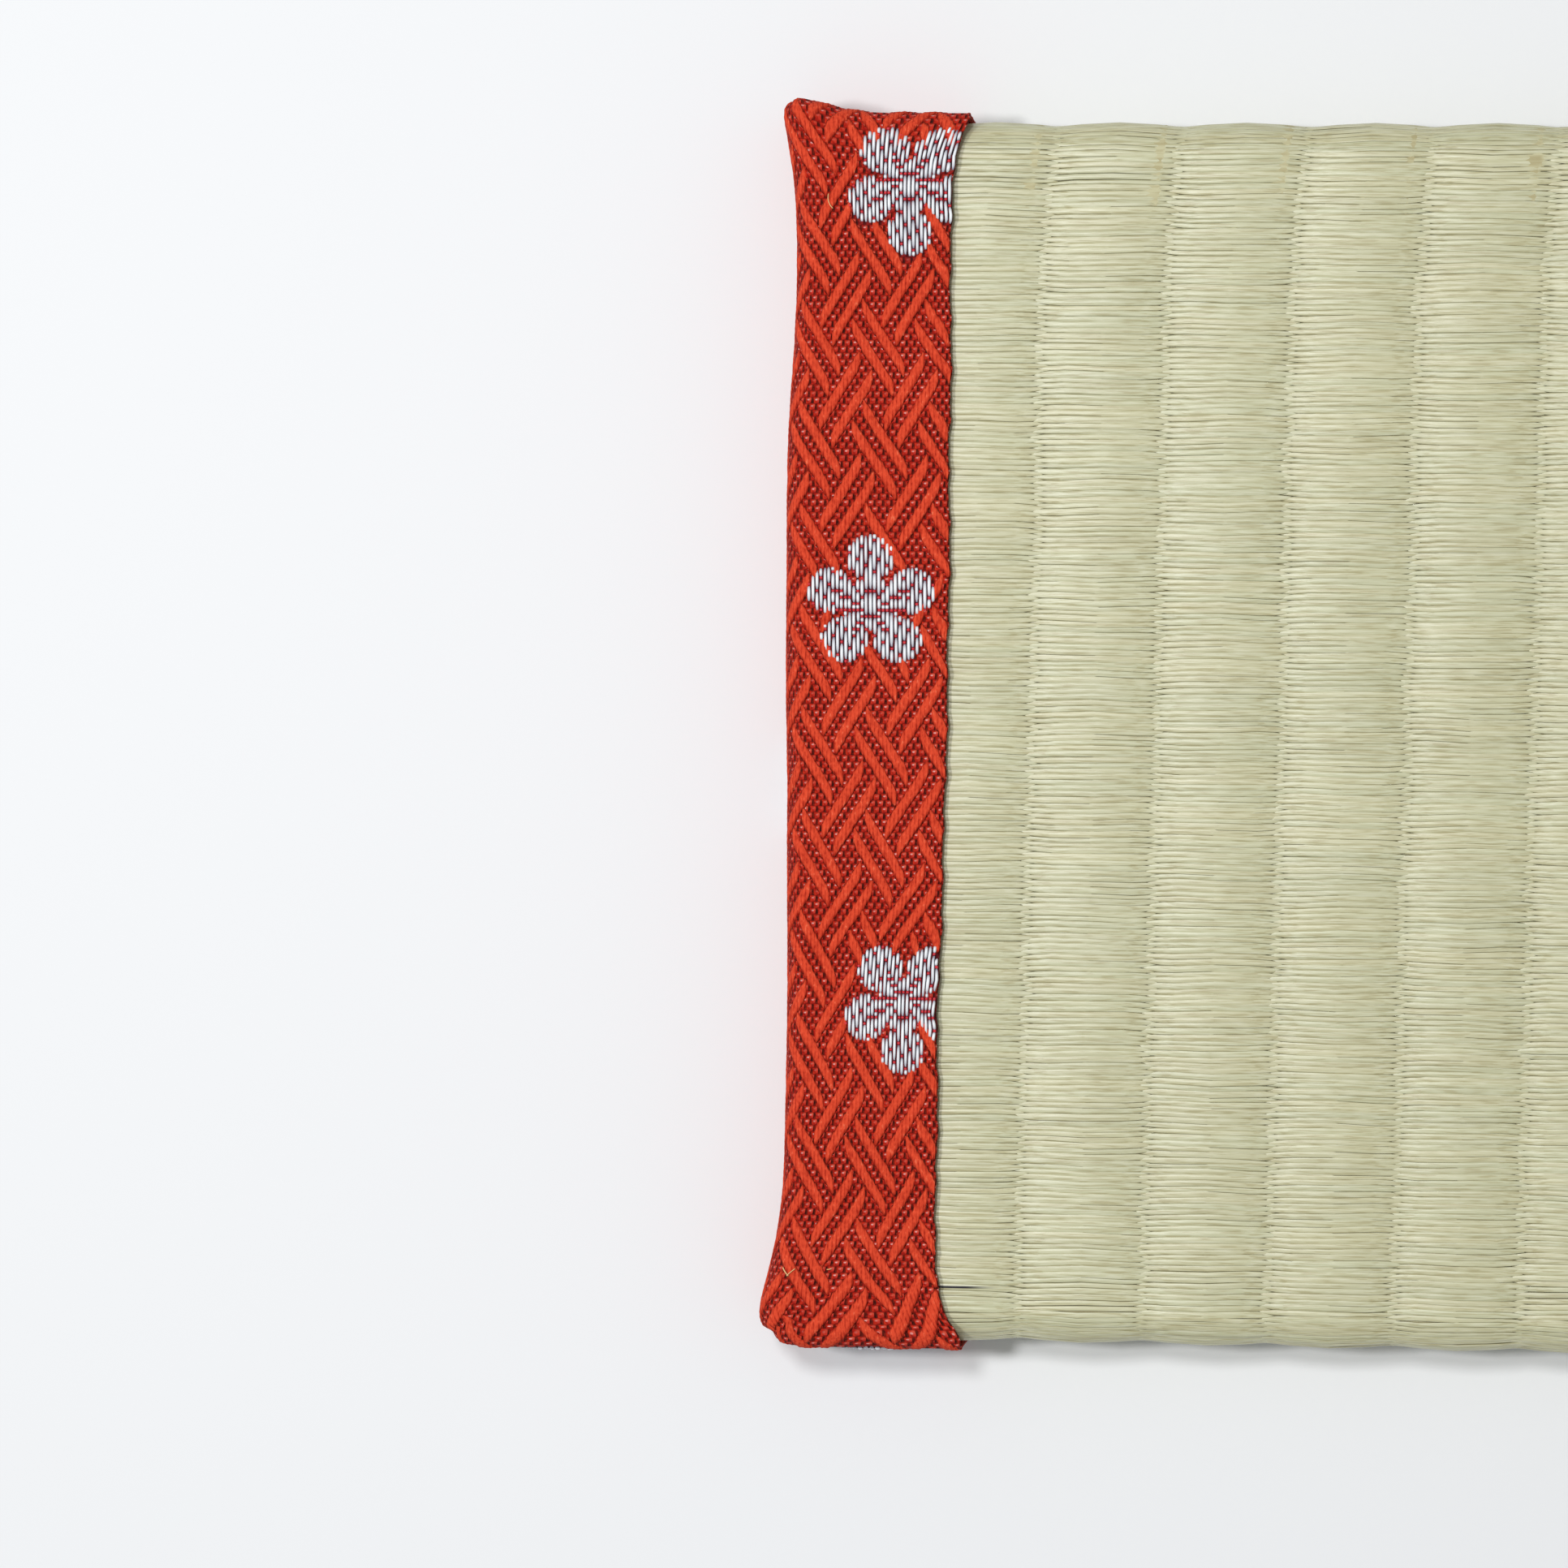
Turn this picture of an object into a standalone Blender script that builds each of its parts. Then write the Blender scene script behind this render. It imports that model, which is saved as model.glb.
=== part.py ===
"""A small tatami mat: a rush cover on its board, with a brocade border folded over each side.

Metres, +Z up. The origin is on the floor under the middle of the mat. X runs along the rushes,
from border to border, Y runs along the borders, and the ribs of the rush weave run along Y too.
"""

import math

import bmesh
import bpy
from mathutils import Matrix

MM = 0.001

# Driving dimensions of the mat
MAT_WIDTH = 150 * MM
MAT_LENGTH = 150.4 * MM
MAT_THICKNESS = 15 * MM
BORDER_WIDTH = 19.4 * MM
CLOTH = 1.0 * MM
END_CLOTH = 0.6 * MM
SIDE_CLOTH = 2.0 * MM
GAP = 0.3 * MM

# The rush weave: its ribs, and how far their lines wander from the border's direction
RIB_PITCH = 15.3 * MM
RIB_DEPTH = 0.75 * MM
RIB_FACETS = 7
FIRST_GROOVE = -60.4 * MM
RIB_LEAN = 0.0125
RIB_KICK = 1.6 * MM
RIB_KICK_START = 50 * MM
RIB_LEAN_STOPS = 66 * MM
RUSH_ROUNDING = 4.2 * MM
RUSH_ROUNDING_CUTS = 5
RUSH_SLICES = (-40 * MM, 0, 40 * MM, 50 * MM, 62 * MM)

# The border's soft edges, and how finely they are cut
BORDER_ROUNDING = 2.4 * MM
BORDER_ROUNDING_CUTS = 6
FOLD_ROUNDING = 0.4 * MM
FOLD_ROUNDING_CUTS = 2
CORNER_LENGTH = 18 * MM
CORNER_SLICES = 6
MIDDLE_SLICES = 10
TOP_SLICES = 5
SIDE_SLICES = 2
SIDE_SWELL = 0.35 * MM
SIDE_LEAN = 0.6 * MM
CORNER_PUFF = 0.5 * MM
MOUTH_REACH = 4.5 * MM
HOLLOW_PAST_MOUTH = 6 * MM

# How far each corner of the left border stands out past its straight sides, and how far that reaches
CORNER_COLUMNS = ("end", "out_x", "out_y", "reach_x", "reach_y")
CORNERS = (
    (1, 1.6 * MM, 2.1 * MM, 5.2 * MM, 6.5 * MM),
    (-1, 3.1 * MM, 0.1 * MM, 9.0 * MM, 11.5 * MM),
)

# At each end, how round the corner is, seen from above, and how far the mouth spreads over the rush
END_COLUMNS = ("end", "round", "flare")
ENDS = (
    (1, 1.5 * MM, 2.1 * MM),
    (-1, 5.5 * MM, 3.1 * MM),
)

# How far the left border's outer side and its inner fold stray from straight, towards +X
EDGE_COLUMNS = ("y", "outer", "inner")
EDGES = (
    (-76 * MM, 0.0 * MM, -0.2 * MM),
    (-52 * MM, 0.3 * MM, -0.4 * MM),
    (-35 * MM, 0.4 * MM, -0.4 * MM),
    (-10 * MM, 0.1 * MM, 0.1 * MM),
    (10 * MM, -0.3 * MM, 0.3 * MM),
    (32 * MM, -0.4 * MM, 0.2 * MM),
    (55 * MM, 0.5 * MM, 0.1 * MM),
    (76 * MM, 0.1 * MM, 0.0 * MM),
)

# Worked out from the driving dimensions
WRAP = CLOTH + GAP
RUSH_TOP = MAT_THICKNESS - WRAP
RUSH_BOTTOM = WRAP
RUSH_END = MAT_LENGTH / 2
RUSH_SIDE = MAT_WIDTH / 2 - SIDE_CLOTH - GAP
BORDER_OUTER = -MAT_WIDTH / 2
BORDER_INNER = BORDER_OUTER + BORDER_WIDTH
BORDER_END = RUSH_END + END_CLOTH + GAP
TIDY = 1e-6
SHARP_ANGLE = math.radians(35)

COLOURS = {
    "rush": ((0.62, 0.60, 0.36, 1.0), 0.55),
    "brocade": ((0.60, 0.05, 0.02, 1.0), 0.75),
}


def clear_scene():
    for obj in list(bpy.data.objects):
        bpy.data.objects.remove(obj, do_unlink=True)


def new_collection(name):
    made = bpy.data.collections.new(name)
    bpy.context.scene.collection.children.link(made)
    return made


def new_material(name):
    colour, roughness = COLOURS[name]
    made = bpy.data.materials.new(name)
    made.use_nodes = True
    shader = made.node_tree.nodes["Principled BSDF"]
    shader.inputs["Base Color"].default_value = colour
    shader.inputs["Roughness"].default_value = roughness
    shader.inputs["Metallic"].default_value = 0.0
    return made


def new_object(name, bm, collection, material=None):
    bmesh.ops.recalc_face_normals(bm, faces=bm.faces)
    mesh = bpy.data.meshes.new(name)
    bm.to_mesh(mesh)
    bm.free()
    obj = bpy.data.objects.new(name, mesh)
    collection.objects.link(obj)
    if material:
        mesh.materials.append(material)
        mesh.shade_smooth()
        mesh.set_sharp_from_angle(angle=SHARP_ANGLE)
    return obj


def smoothstep(value):
    held = min(max(value, 0.0), 1.0)
    return held * held * (3 - 2 * held)


def box(low, high):
    """A bmesh box from its lowest to its highest corner."""
    bm = bmesh.new()
    bmesh.ops.create_cube(bm, size=1.0)
    size = [b - a for a, b in zip(low, high)]
    centre = [(a + b) / 2 for a, b in zip(low, high)]
    bmesh.ops.transform(
        bm, verts=bm.verts, matrix=Matrix.Translation(centre) @ Matrix.Diagonal((*size, 1))
    )
    return bm


def round_edges(bm, chosen, radius, segments):
    """Rounds the edges for which chosen(edge's middle) is true."""
    edges = [e for e in bm.edges if chosen((e.verts[0].co + e.verts[1].co) / 2)]
    bmesh.ops.bevel(
        bm,
        geom=edges,
        offset=radius,
        offset_type="OFFSET",
        affect="EDGES",
        segments=segments,
        profile=0.5,
        material=-1,
    )


def slice_across(bm, axis, places):
    """Cuts the faces where they cross each place on an axis, so that their points can be raised."""
    normal = [1.0 if i == axis else 0.0 for i in range(3)]
    for place in places:
        point = [place if i == axis else 0.0 for i in range(3)]
        geom = list(bm.verts) + list(bm.edges) + list(bm.faces)
        bmesh.ops.bisect_plane(bm, geom=geom, dist=TIDY, plane_co=point, plane_no=normal)


def steps(low, high, count):
    return [low + (high - low) * i / count for i in range(count + 1)]


def rib_height(x):
    """How far the rush stands above the groove at x: each rib is a shallow arch."""
    across = ((x - FIRST_GROOVE) / RIB_PITCH) % 1.0
    return RIB_DEPTH * (1 - (2 * across - 1) ** 2)


def rib_wander(x, y):
    """The ribs lean a little, kick over near the +Y end, and are held straight under the borders."""
    past = max(0.0, y - RIB_KICK_START) / (RUSH_END - RIB_KICK_START)
    held = 1 - smoothstep((abs(x) - RIB_LEAN_STOPS) / (RUSH_SIDE - RIB_LEAN_STOPS))
    return (RIB_LEAN * y + RIB_KICK * past ** 2) * held


def edge_stray(y, column):
    """The stray of an edge of the left border at y, from the table."""
    index = EDGE_COLUMNS.index(column)
    for here, there in zip(EDGES, EDGES[1:]):
        if y <= there[0]:
            share = (y - here[0]) / (there[0] - here[0])
            return here[index] + (there[index] - here[index]) * smoothstep(share)
    return EDGES[-1][index]


def build_rush_cover(collection, material):
    """The rush facing with the board that it wraps, as one filled and ribbed slab."""
    low = (-RUSH_SIDE, -RUSH_END + RIB_DEPTH, RUSH_BOTTOM + RIB_DEPTH)
    high = (RUSH_SIDE, RUSH_END - RIB_DEPTH, RUSH_TOP - RIB_DEPTH)
    bm = box(low, high)
    middle = (RUSH_TOP + RUSH_BOTTOM) / 2
    end_edge = high[1] - TIDY
    rounding = RUSH_ROUNDING - RIB_DEPTH
    ends = lambda m: abs(m.y) > end_edge and abs(m.x) < TIDY
    round_edges(bm, ends, rounding, RUSH_ROUNDING_CUTS)
    first = math.ceil((-RUSH_SIDE - FIRST_GROOVE) / RIB_PITCH * RIB_FACETS)
    last = math.floor((RUSH_SIDE - FIRST_GROOVE) / RIB_PITCH * RIB_FACETS)
    facets = [FIRST_GROOVE + RIB_PITCH * i / RIB_FACETS for i in range(first, last + 1)]
    slice_across(bm, 0, facets)
    slice_across(bm, 1, RUSH_SLICES)
    straight_y = high[1] - rounding
    straight_z = high[2] - middle - rounding
    for vertex in bm.verts:
        x, y, z = vertex.co
        out_y = max(abs(y) - straight_y, 0.0) * math.copysign(1, y)
        out_z = max(abs(z - middle) - straight_z, 0.0) * math.copysign(1, z - middle)
        reach = math.hypot(out_y, out_z)
        raised = rib_height(x)
        if reach > TIDY:
            vertex.co.y += raised * out_y / reach
            vertex.co.z += raised * out_z / reach
        vertex.co.x += rib_wander(x, vertex.co.y)
    return new_object("rush_cover", bm, collection, material)


def shape_border_point(co):
    """Moves a point of the straight left border to where the soft, folded cloth has it."""
    x, y, z = co
    up = z / MAT_THICKNESS
    outward = 1 - smoothstep((x - BORDER_OUTER) / BORDER_WIDTH)
    moved_x = edge_stray(y, "outer") * outward + edge_stray(y, "inner") * (1 - outward)
    bulge = math.sin(math.pi * up)
    moved_x += (SIDE_LEAN * (1 - bulge) - SIDE_SWELL) * outward ** 4
    moved_y = 0.0
    moved_z = 0.0
    for end, rounding, flare in ENDS:
        in_x = max(rounding - (x - BORDER_OUTER), 0.0)
        in_y = max(rounding - (BORDER_END - y * end), 0.0)
        pull = 1 - max(in_x, in_y) / max(math.hypot(in_x, in_y), TIDY)
        endness = (BORDER_END - y * end) / MOUTH_REACH
        moved_x += in_x * pull + flare * (1 - outward) ** 3 * math.exp(-endness * endness)
        moved_y -= in_y * pull * end
    for end, out_x, out_y, reach_x, reach_y in CORNERS:
        from_end = max(BORDER_END - y * end, 0.0) / reach_y
        from_side = max(x - BORDER_OUTER, 0.0) / reach_x
        near = math.exp(-from_end ** 2 - from_side ** 2)
        moved_x -= out_x * near
        moved_y += out_y * near * end
        moved_z += CORNER_PUFF * near * up
    co.x += moved_x
    co.y += moved_y
    co.z += moved_z


def build_border(collection, cutters, material):
    """The left border: brocade folded over the mat's side, and over both its ends, as one shell."""
    low = (BORDER_OUTER, -BORDER_END, 0.0)
    high = (BORDER_INNER, BORDER_END, MAT_THICKNESS)
    bm = box(low, high)
    mouth = BORDER_INNER - TIDY
    above = MAT_THICKNESS - TIDY
    corner = BORDER_END - BORDER_ROUNDING
    round_edges(bm, lambda m: m.x < mouth, BORDER_ROUNDING, BORDER_ROUNDING_CUTS)
    fold = lambda m: m.x > mouth and m.z > above and abs(m.y) < corner - TIDY
    round_edges(bm, fold, FOLD_ROUNDING, FOLD_ROUNDING_CUTS)
    middle = corner - CORNER_LENGTH
    slice_across(bm, 1, steps(-corner, -middle, CORNER_SLICES))
    slice_across(bm, 1, steps(-middle, middle, MIDDLE_SLICES))
    slice_across(bm, 1, steps(middle, corner, CORNER_SLICES))
    top = steps(BORDER_OUTER + BORDER_ROUNDING, BORDER_INNER - FOLD_ROUNDING, TOP_SLICES)
    slice_across(bm, 0, top)
    slice_across(bm, 2, steps(BORDER_ROUNDING, MAT_THICKNESS - BORDER_ROUNDING, SIDE_SLICES))
    for vertex in bm.verts:
        shape_border_point(vertex.co)
    border = new_object("border_left", bm, collection, material)

    hollow = box(
        (BORDER_OUTER + SIDE_CLOTH, -RUSH_END - GAP, RUSH_BOTTOM - GAP),
        (BORDER_INNER + HOLLOW_PAST_MOUTH, RUSH_END + GAP, RUSH_TOP + GAP),
    )
    inside = RUSH_END + GAP - TIDY
    ends = lambda m: abs(m.y) > inside and m.x > BORDER_OUTER + 2 * SIDE_CLOTH
    round_edges(hollow, ends, RUSH_ROUNDING - GAP, RUSH_ROUNDING_CUTS)
    cutter = new_object("border_hollow", hollow, cutters)
    cutter.hide_render = True
    cutter.display_type = "WIRE"
    cut = border.modifiers.new("hollow", "BOOLEAN")
    cut.operation = "DIFFERENCE"
    cut.solver = "EXACT"
    cut.object = cutter
    return border


def turn_border(border, collection):
    """The right border is the same fold, turned half round."""
    graph = bpy.context.evaluated_depsgraph_get()
    mesh = bpy.data.meshes.new_from_object(border.evaluated_get(graph))
    turned = bpy.data.objects.new("border_right", mesh)
    turned.rotation_euler.z = math.pi
    collection.objects.link(turned)


def main():
    clear_scene()
    collection = new_collection("tatami_mat")
    cutters = new_collection("cutters")
    build_rush_cover(collection, new_material("rush"))
    border = build_border(collection, cutters, new_material("brocade"))
    turn_border(border, collection)


main()
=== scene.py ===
# %% [markdown]
# # The looks of a small tatami mat
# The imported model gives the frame: a filled slab of rush and two borders, each in its place. This
# lesson dresses them. The rush gets its separate stems, and the borders get a cloth with raised
# threads. Lengths are in millimetres until a mesh is made, because a weave is easier to read so.

import math

import bmesh
import bpy
import numpy as np
from mathutils import Matrix, Vector


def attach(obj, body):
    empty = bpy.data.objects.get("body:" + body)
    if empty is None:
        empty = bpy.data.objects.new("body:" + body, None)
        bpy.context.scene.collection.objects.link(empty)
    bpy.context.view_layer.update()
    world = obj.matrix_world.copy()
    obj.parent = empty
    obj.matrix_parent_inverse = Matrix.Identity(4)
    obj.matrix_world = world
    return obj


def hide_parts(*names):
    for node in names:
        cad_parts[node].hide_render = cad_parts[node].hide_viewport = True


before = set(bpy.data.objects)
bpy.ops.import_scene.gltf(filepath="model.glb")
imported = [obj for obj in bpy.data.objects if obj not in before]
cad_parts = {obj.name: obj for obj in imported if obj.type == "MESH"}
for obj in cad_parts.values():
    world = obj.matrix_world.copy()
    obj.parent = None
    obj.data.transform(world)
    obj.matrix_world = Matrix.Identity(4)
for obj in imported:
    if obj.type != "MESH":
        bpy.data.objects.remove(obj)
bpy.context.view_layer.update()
MM = 0.001
print("nodes:", sorted(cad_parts))

# %% [markdown]
# ## The camera
# The picture is a close view through a long lens. The camera stands over the middle of the mat and
# turns a few degrees, so that the mat's left side is in the middle of the picture. It is built from
# three directions, right, up and back, because that says the turn and the roll more plainly than
# three angles do.

# %% The camera
CAMERA_AIM = Vector((-75.3 * MM, -6.77 * MM, 15 * MM))
CAMERA_DISTANCE = 764 * MM
CAMERA_YAW = math.radians(5.6)
CAMERA_ROLL = math.radians(0.7)
VIEW_WIDTH = 192.6 * MM
SENSOR = 36.0


def make_camera():
    back = Vector((math.sin(CAMERA_YAW), 0.0, math.cos(CAMERA_YAW)))
    up = Vector((0.0, 1.0, 0.0))
    right = up.cross(back)
    turn = Matrix((right, up, back)).transposed().to_4x4()
    data = bpy.data.cameras.new("camera")
    data.sensor_width = SENSOR
    data.lens = SENSOR * CAMERA_DISTANCE / VIEW_WIDTH
    camera = bpy.data.objects.new("camera", data)
    place = Matrix.Translation(CAMERA_AIM + back * CAMERA_DISTANCE)
    camera.matrix_world = place @ turn @ Matrix.Rotation(CAMERA_ROLL, 4, "Z")
    bpy.context.scene.collection.objects.link(camera)
    bpy.context.scene.camera = camera
    return camera


print("lens:", round(make_camera().data.lens, 1), "mm")

# %% [markdown]
# ## Colours
# A colour given here is three numbers from 0 to 255, and a shader wants light, which is not the
# same scale. One small function turns the first into the second.

# %% Colours


def tint(red, green, blue):
    """A colour named by its three screen values, as the light that a shader works with."""
    light = [value / 255 for value in (red, green, blue)]
    light = [v / 12.92 if v <= 0.04045 else ((v + 0.055) / 1.055) ** 2.4 for v in light]
    return (*light, 1.0)


# %% [markdown]
# ## Shader trees
# Every finish below is worked out by Math nodes. Three helpers keep that readable: one connects a
# socket or a plain number, one adds a Math node, and one maps a range smoothly. A group is a tree
# with named inputs and outputs, which several finishes can share.

# %% Helpers for shader trees
# The sockets of a Mix node for its share and its two colours
MIX_SOCKETS = (0, 6, 7)
MIX_RESULT = 2


def connect(tree, value, socket):
    if isinstance(value, bpy.types.NodeSocket):
        tree.links.new(value, socket)
    else:
        socket.default_value = value


def calc(tree, operation, *values):
    node = tree.nodes.new("ShaderNodeMath")
    node.operation = operation
    for value, socket in zip(values, node.inputs):
        connect(tree, value, socket)
    return node.outputs[0]


def fade(tree, value, low, high, first=0.0, last=1.0):
    """Goes smoothly from first to last as value goes from low to high."""
    node = tree.nodes.new("ShaderNodeMapRange")
    node.interpolation_type = "SMOOTHSTEP"
    for given, socket in zip((value, low, high, first, last), node.inputs):
        connect(tree, given, socket)
    return node.outputs[0]


def blend(tree, share, first, second):
    node = tree.nodes.new("ShaderNodeMix")
    node.data_type = "RGBA"
    for given, index in zip((share, first, second), MIX_SOCKETS):
        connect(tree, given, node.inputs[index])
    return node.outputs[MIX_RESULT]


def new_group(name, inputs, outputs):
    group = bpy.data.node_groups.new(name, "ShaderNodeTree")
    for title, kind, default in inputs:
        socket = group.interface.new_socket(title, in_out="INPUT", socket_type=kind)
        if default is not None:
            socket.default_value = default
    for title in outputs:
        group.interface.new_socket(title, in_out="OUTPUT", socket_type="NodeSocketFloat")
    given = group.nodes.new("NodeGroupInput").outputs
    result = group.nodes.new("NodeGroupOutput").inputs
    return group, given, result


def use_group(tree, group, **values):
    node = tree.nodes.new("ShaderNodeGroup")
    node.node_tree = group
    for title, value in values.items():
        connect(tree, value, node.inputs[title.replace("_", " ")])
    return node.outputs


def new_finish(name, roughness, **fixed):
    """A material and its shader; a number that never varies is set on the shader's own socket."""
    finish = bpy.data.materials.new(name)
    finish.use_nodes = True
    shader = finish.node_tree.nodes["Principled BSDF"]
    shader.inputs["Roughness"].default_value = roughness
    for title, value in fixed.items():
        shader.inputs[title.replace("_", " ")].default_value = value
    return finish, finish.node_tree, shader


def read_tone(tree):
    """The four numbers that each corner of a joined copy was given."""
    tone = tree.nodes.new("ShaderNodeAttribute")
    tone.attribute_name = "tone"
    parts = tree.nodes.new("ShaderNodeSeparateColor")
    connect(tree, tone.outputs["Color"], parts.inputs[0])
    return [*parts.outputs, tone.outputs["Alpha"]]


def add_noise(tree, place, scale, detail):
    noise = tree.nodes.new("ShaderNodeTexNoise")
    noise.inputs["Scale"].default_value = scale
    noise.inputs["Detail"].default_value = detail
    connect(tree, place, noise.inputs["Vector"])
    return noise.outputs[0]


def add_bump(tree, shader, height, distance):
    bump = tree.nodes.new("ShaderNodeBump")
    bump.inputs["Distance"].default_value = distance * MM
    connect(tree, height, bump.inputs["Height"])
    connect(tree, bump.outputs[0], shader.inputs["Normal"])


# %% [markdown]
# ## Meshes and their objects
# A mesh shows once an object carries it. A piece's object stays at the origin, unturned and unscaled,
# so that its points say where it really is. These two are used by every piece that follows.

# %% Putting a mesh in the scene


def show(name, data):
    obj = bpy.data.objects.new(name, data)
    bpy.context.scene.collection.objects.link(obj)
    return obj


def keep_mesh(name, bm):
    """Turns a finished bmesh into a smooth piece."""
    mesh = bpy.data.meshes.new(name)
    bm.to_mesh(mesh)
    bm.free()
    mesh.shade_smooth()
    return show(name, mesh)


# %% [markdown]
# ## Joined copies
# A weave is one small shape laid thousands of times. Separate objects would be slow to handle, so
# the copies are joined: one template gives the faces, and numpy gives every copy its own corners.
# The template is a cone operator's prism, cut across. A section says where its sides lie: the first
# and last are the edges of a flat underside, and those between them make the arched top.

# %% The template of a thread or a stem


class Template:
    """A bar of rings and sides: each corner's ring and side, and the faces."""

    def __init__(self, rings, sides):
        bm = bmesh.new()
        bmesh.ops.create_cone(
            bm, cap_ends=True, cap_tris=False, segments=sides, radius1=1, radius2=1, depth=1
        )
        along = [e for e in bm.edges if abs(e.verts[0].co.z - e.verts[1].co.z) > 0.5]
        bmesh.ops.subdivide_edges(bm, edges=along, cuts=rings - 2, use_grid_fill=True)
        corners = np.array([v.co for v in bm.verts])
        bm.verts.index_update()
        self.ring = np.rint((corners[:, 2] + 0.5) * (rings - 1)).astype(int)
        turn = np.arctan2(corners[:, 1], corners[:, 0]) / (2 * np.pi)
        self.side = np.rint(turn * sides).astype(int) % sides
        faces = [[v.index for v in f.verts] for f in bm.faces]
        self.sizes = np.array([len(face) for face in faces])
        self.loops = np.concatenate(faces)
        self.triangles = int((self.sizes - 2).sum())
        bm.free()


def join_copies(name, template, points, tones, finish):
    """One mesh of all the copies. points are in mm; tones are four numbers for each corner."""
    copies, corners = points.shape[:2]
    counts = np.arange(copies)[:, None]
    loops = (template.loops[None, :] + counts * corners).ravel()
    starts = np.cumsum(template.sizes) - template.sizes
    starts = (starts[None, :] + counts * template.sizes.sum()).ravel()
    mesh = bpy.data.meshes.new(name)
    mesh.vertices.add(copies * corners)
    mesh.vertices.foreach_set("co", (points * MM).ravel())
    mesh.loops.add(len(loops))
    mesh.loops.foreach_set("vertex_index", loops)
    mesh.polygons.add(len(starts))
    mesh.polygons.foreach_set("loop_start", starts)
    mesh.update(calc_edges=True)
    mesh.validate()
    tone = mesh.attributes.new("tone", "FLOAT_COLOR", "POINT")
    tone.data.foreach_set("color", tones.ravel())
    mesh.shade_smooth()
    mesh.materials.append(finish)
    print(name, copies, "copies,", copies * template.triangles, "triangles")
    return show(name, mesh)


def smooth(value):
    held = np.clip(value, 0.0, 1.0)
    return held * held * (3 - 2 * held)


# %% [markdown]
# ## The rush weave
# Rush is woven across the mat. Each stem floats over one rib, dives under the warp at the groove,
# and comes up again two ribs on, so the stems of neighbouring ribs lie half a step apart and their
# narrowed ends mesh like fingers. That is why the stems are modelled and not painted: the grooves,
# the fine lines and the shimmer of the ribs all come from the shape. A rib's height is a parabola.
# The stems bridge the sharp groove between two of them, so theirs is the long side of a right
# triangle whose other sides are the rib's height and a small fill.

# %% Sizes of the rush weave
MAT_LENGTH = 150.4
MAT_WIDTH = 150.0
MAT_THICKNESS = 15.0
WRAP = 1.3
SIDE_WRAP = 2.3
RUSH_TOP = MAT_THICKNESS - WRAP
RUSH_BOTTOM = WRAP
RUSH_END = MAT_LENGTH / 2
RUSH_SIDE = MAT_WIDTH / 2 - SIDE_WRAP
RUSH_ROUNDING = 4.2
RIB_PITCH = 15.3
RIB_DEPTH = 0.75
FIRST_GROOVE = -60.4
SHOWN_RIBS = 8
RIB_LEAN = 0.0125
RIB_KICK = 1.6
RIB_KICK_START = 50.0
RIB_LEAN_STOPS = 66.0


def rib_height(x):
    across = ((x - FIRST_GROOVE) / RIB_PITCH) % 1.0
    return RIB_DEPTH * (1 - (2 * across - 1) ** 2)


def rib_wander(x, y):
    """How far a rib has strayed along X at y: it leans, and curls towards the far end."""
    past = np.maximum(0.0, y - RIB_KICK_START) / (RUSH_END - RIB_KICK_START)
    held = 1 - smooth((np.abs(x) - RIB_LEAN_STOPS) / (RUSH_SIDE - RIB_LEAN_STOPS))
    return (RIB_LEAN * y + RIB_KICK * past ** 2) * held


def round_the_board(along):
    """The facing's path round the board: where it is, and which way is out, along its length."""
    half_y = RUSH_END - RUSH_ROUNDING
    half_z = (RUSH_TOP - RUSH_BOTTOM) / 2 - RUSH_ROUNDING
    arc = RUSH_ROUNDING * np.pi / 2
    lengths = np.array((2 * half_y, arc, 2 * half_z, arc, 2 * half_y, arc, 2 * half_z, arc))
    total = lengths.sum()
    along = along % total
    starts = np.cumsum(lengths) - lengths
    gone = np.clip(along[..., None] - starts, 0.0, lengths)
    angle = gone[..., 1::2].sum(axis=-1) / RUSH_ROUNDING
    y = -half_y + gone[..., 0] - gone[..., 4]
    z = (RUSH_TOP + RUSH_BOTTOM) / 2 + half_z - gone[..., 2] + gone[..., 6]
    return y, z, np.sin(angle), np.cos(angle), total


# %% Sizes of a stem
STEM_PITCH = 0.693
# The rings of half a stem, counted from the groove that it comes up from
STEM_STATIONS = np.array((-1.0, -0.5, 0.0, 0.5, 1.1, 3.0, RIB_PITCH / 2))
# A stem's section, as shares of its half width and its thickness
STEM_WIDE = np.array((1.0, 0.72, 0.0, -0.72, -1.0))
STEM_TALL = np.array((0.0, 0.66, 1.0, 0.66, 0.0))
STEM_TEMPLATE = Template(rings=2 * len(STEM_STATIONS) - 1, sides=len(STEM_WIDE))
STEM_THICK = 0.075
GROOVE_FILL = 0.32
CROWN_DROP = GROOVE_FILL / 4
# Towards the groove a stem narrows and thins to these shares, over this stretch
TIP_WIDTH = 0.55
TIP_THICKNESS = 0.5
TAPER_START = -0.6
TAPER_LENGTH = 2.0
STEM_DIVE = 0.22
DIVE_START = -1.6
DIVE_LENGTH = 1.6
GROOVE_ZONE = 3.0
# Near the ends of the mat some stems are thinner and lie further apart
LOOSE_FROM = 66.0
LOOSE_NARROWING = 0.28
# How unlike each other the stems are
STEM_STRAY = 0.2
STEM_COVER = (1.12, 1.3)
STEM_FULLNESS = (0.8, 1.15)
STEM_BEND = 0.035
STEM_SINK = 0.06
GROOVE_STRAY = 0.45
# Waves that neighbouring stems share: each one's height, and its length along X and across the stems
SWAYS = (
    (0.1, 3.1, 5.3),
    (0.06, 1.7, -3.7),
)
random = np.random.default_rng(12)

# %% Laying the stems


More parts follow.
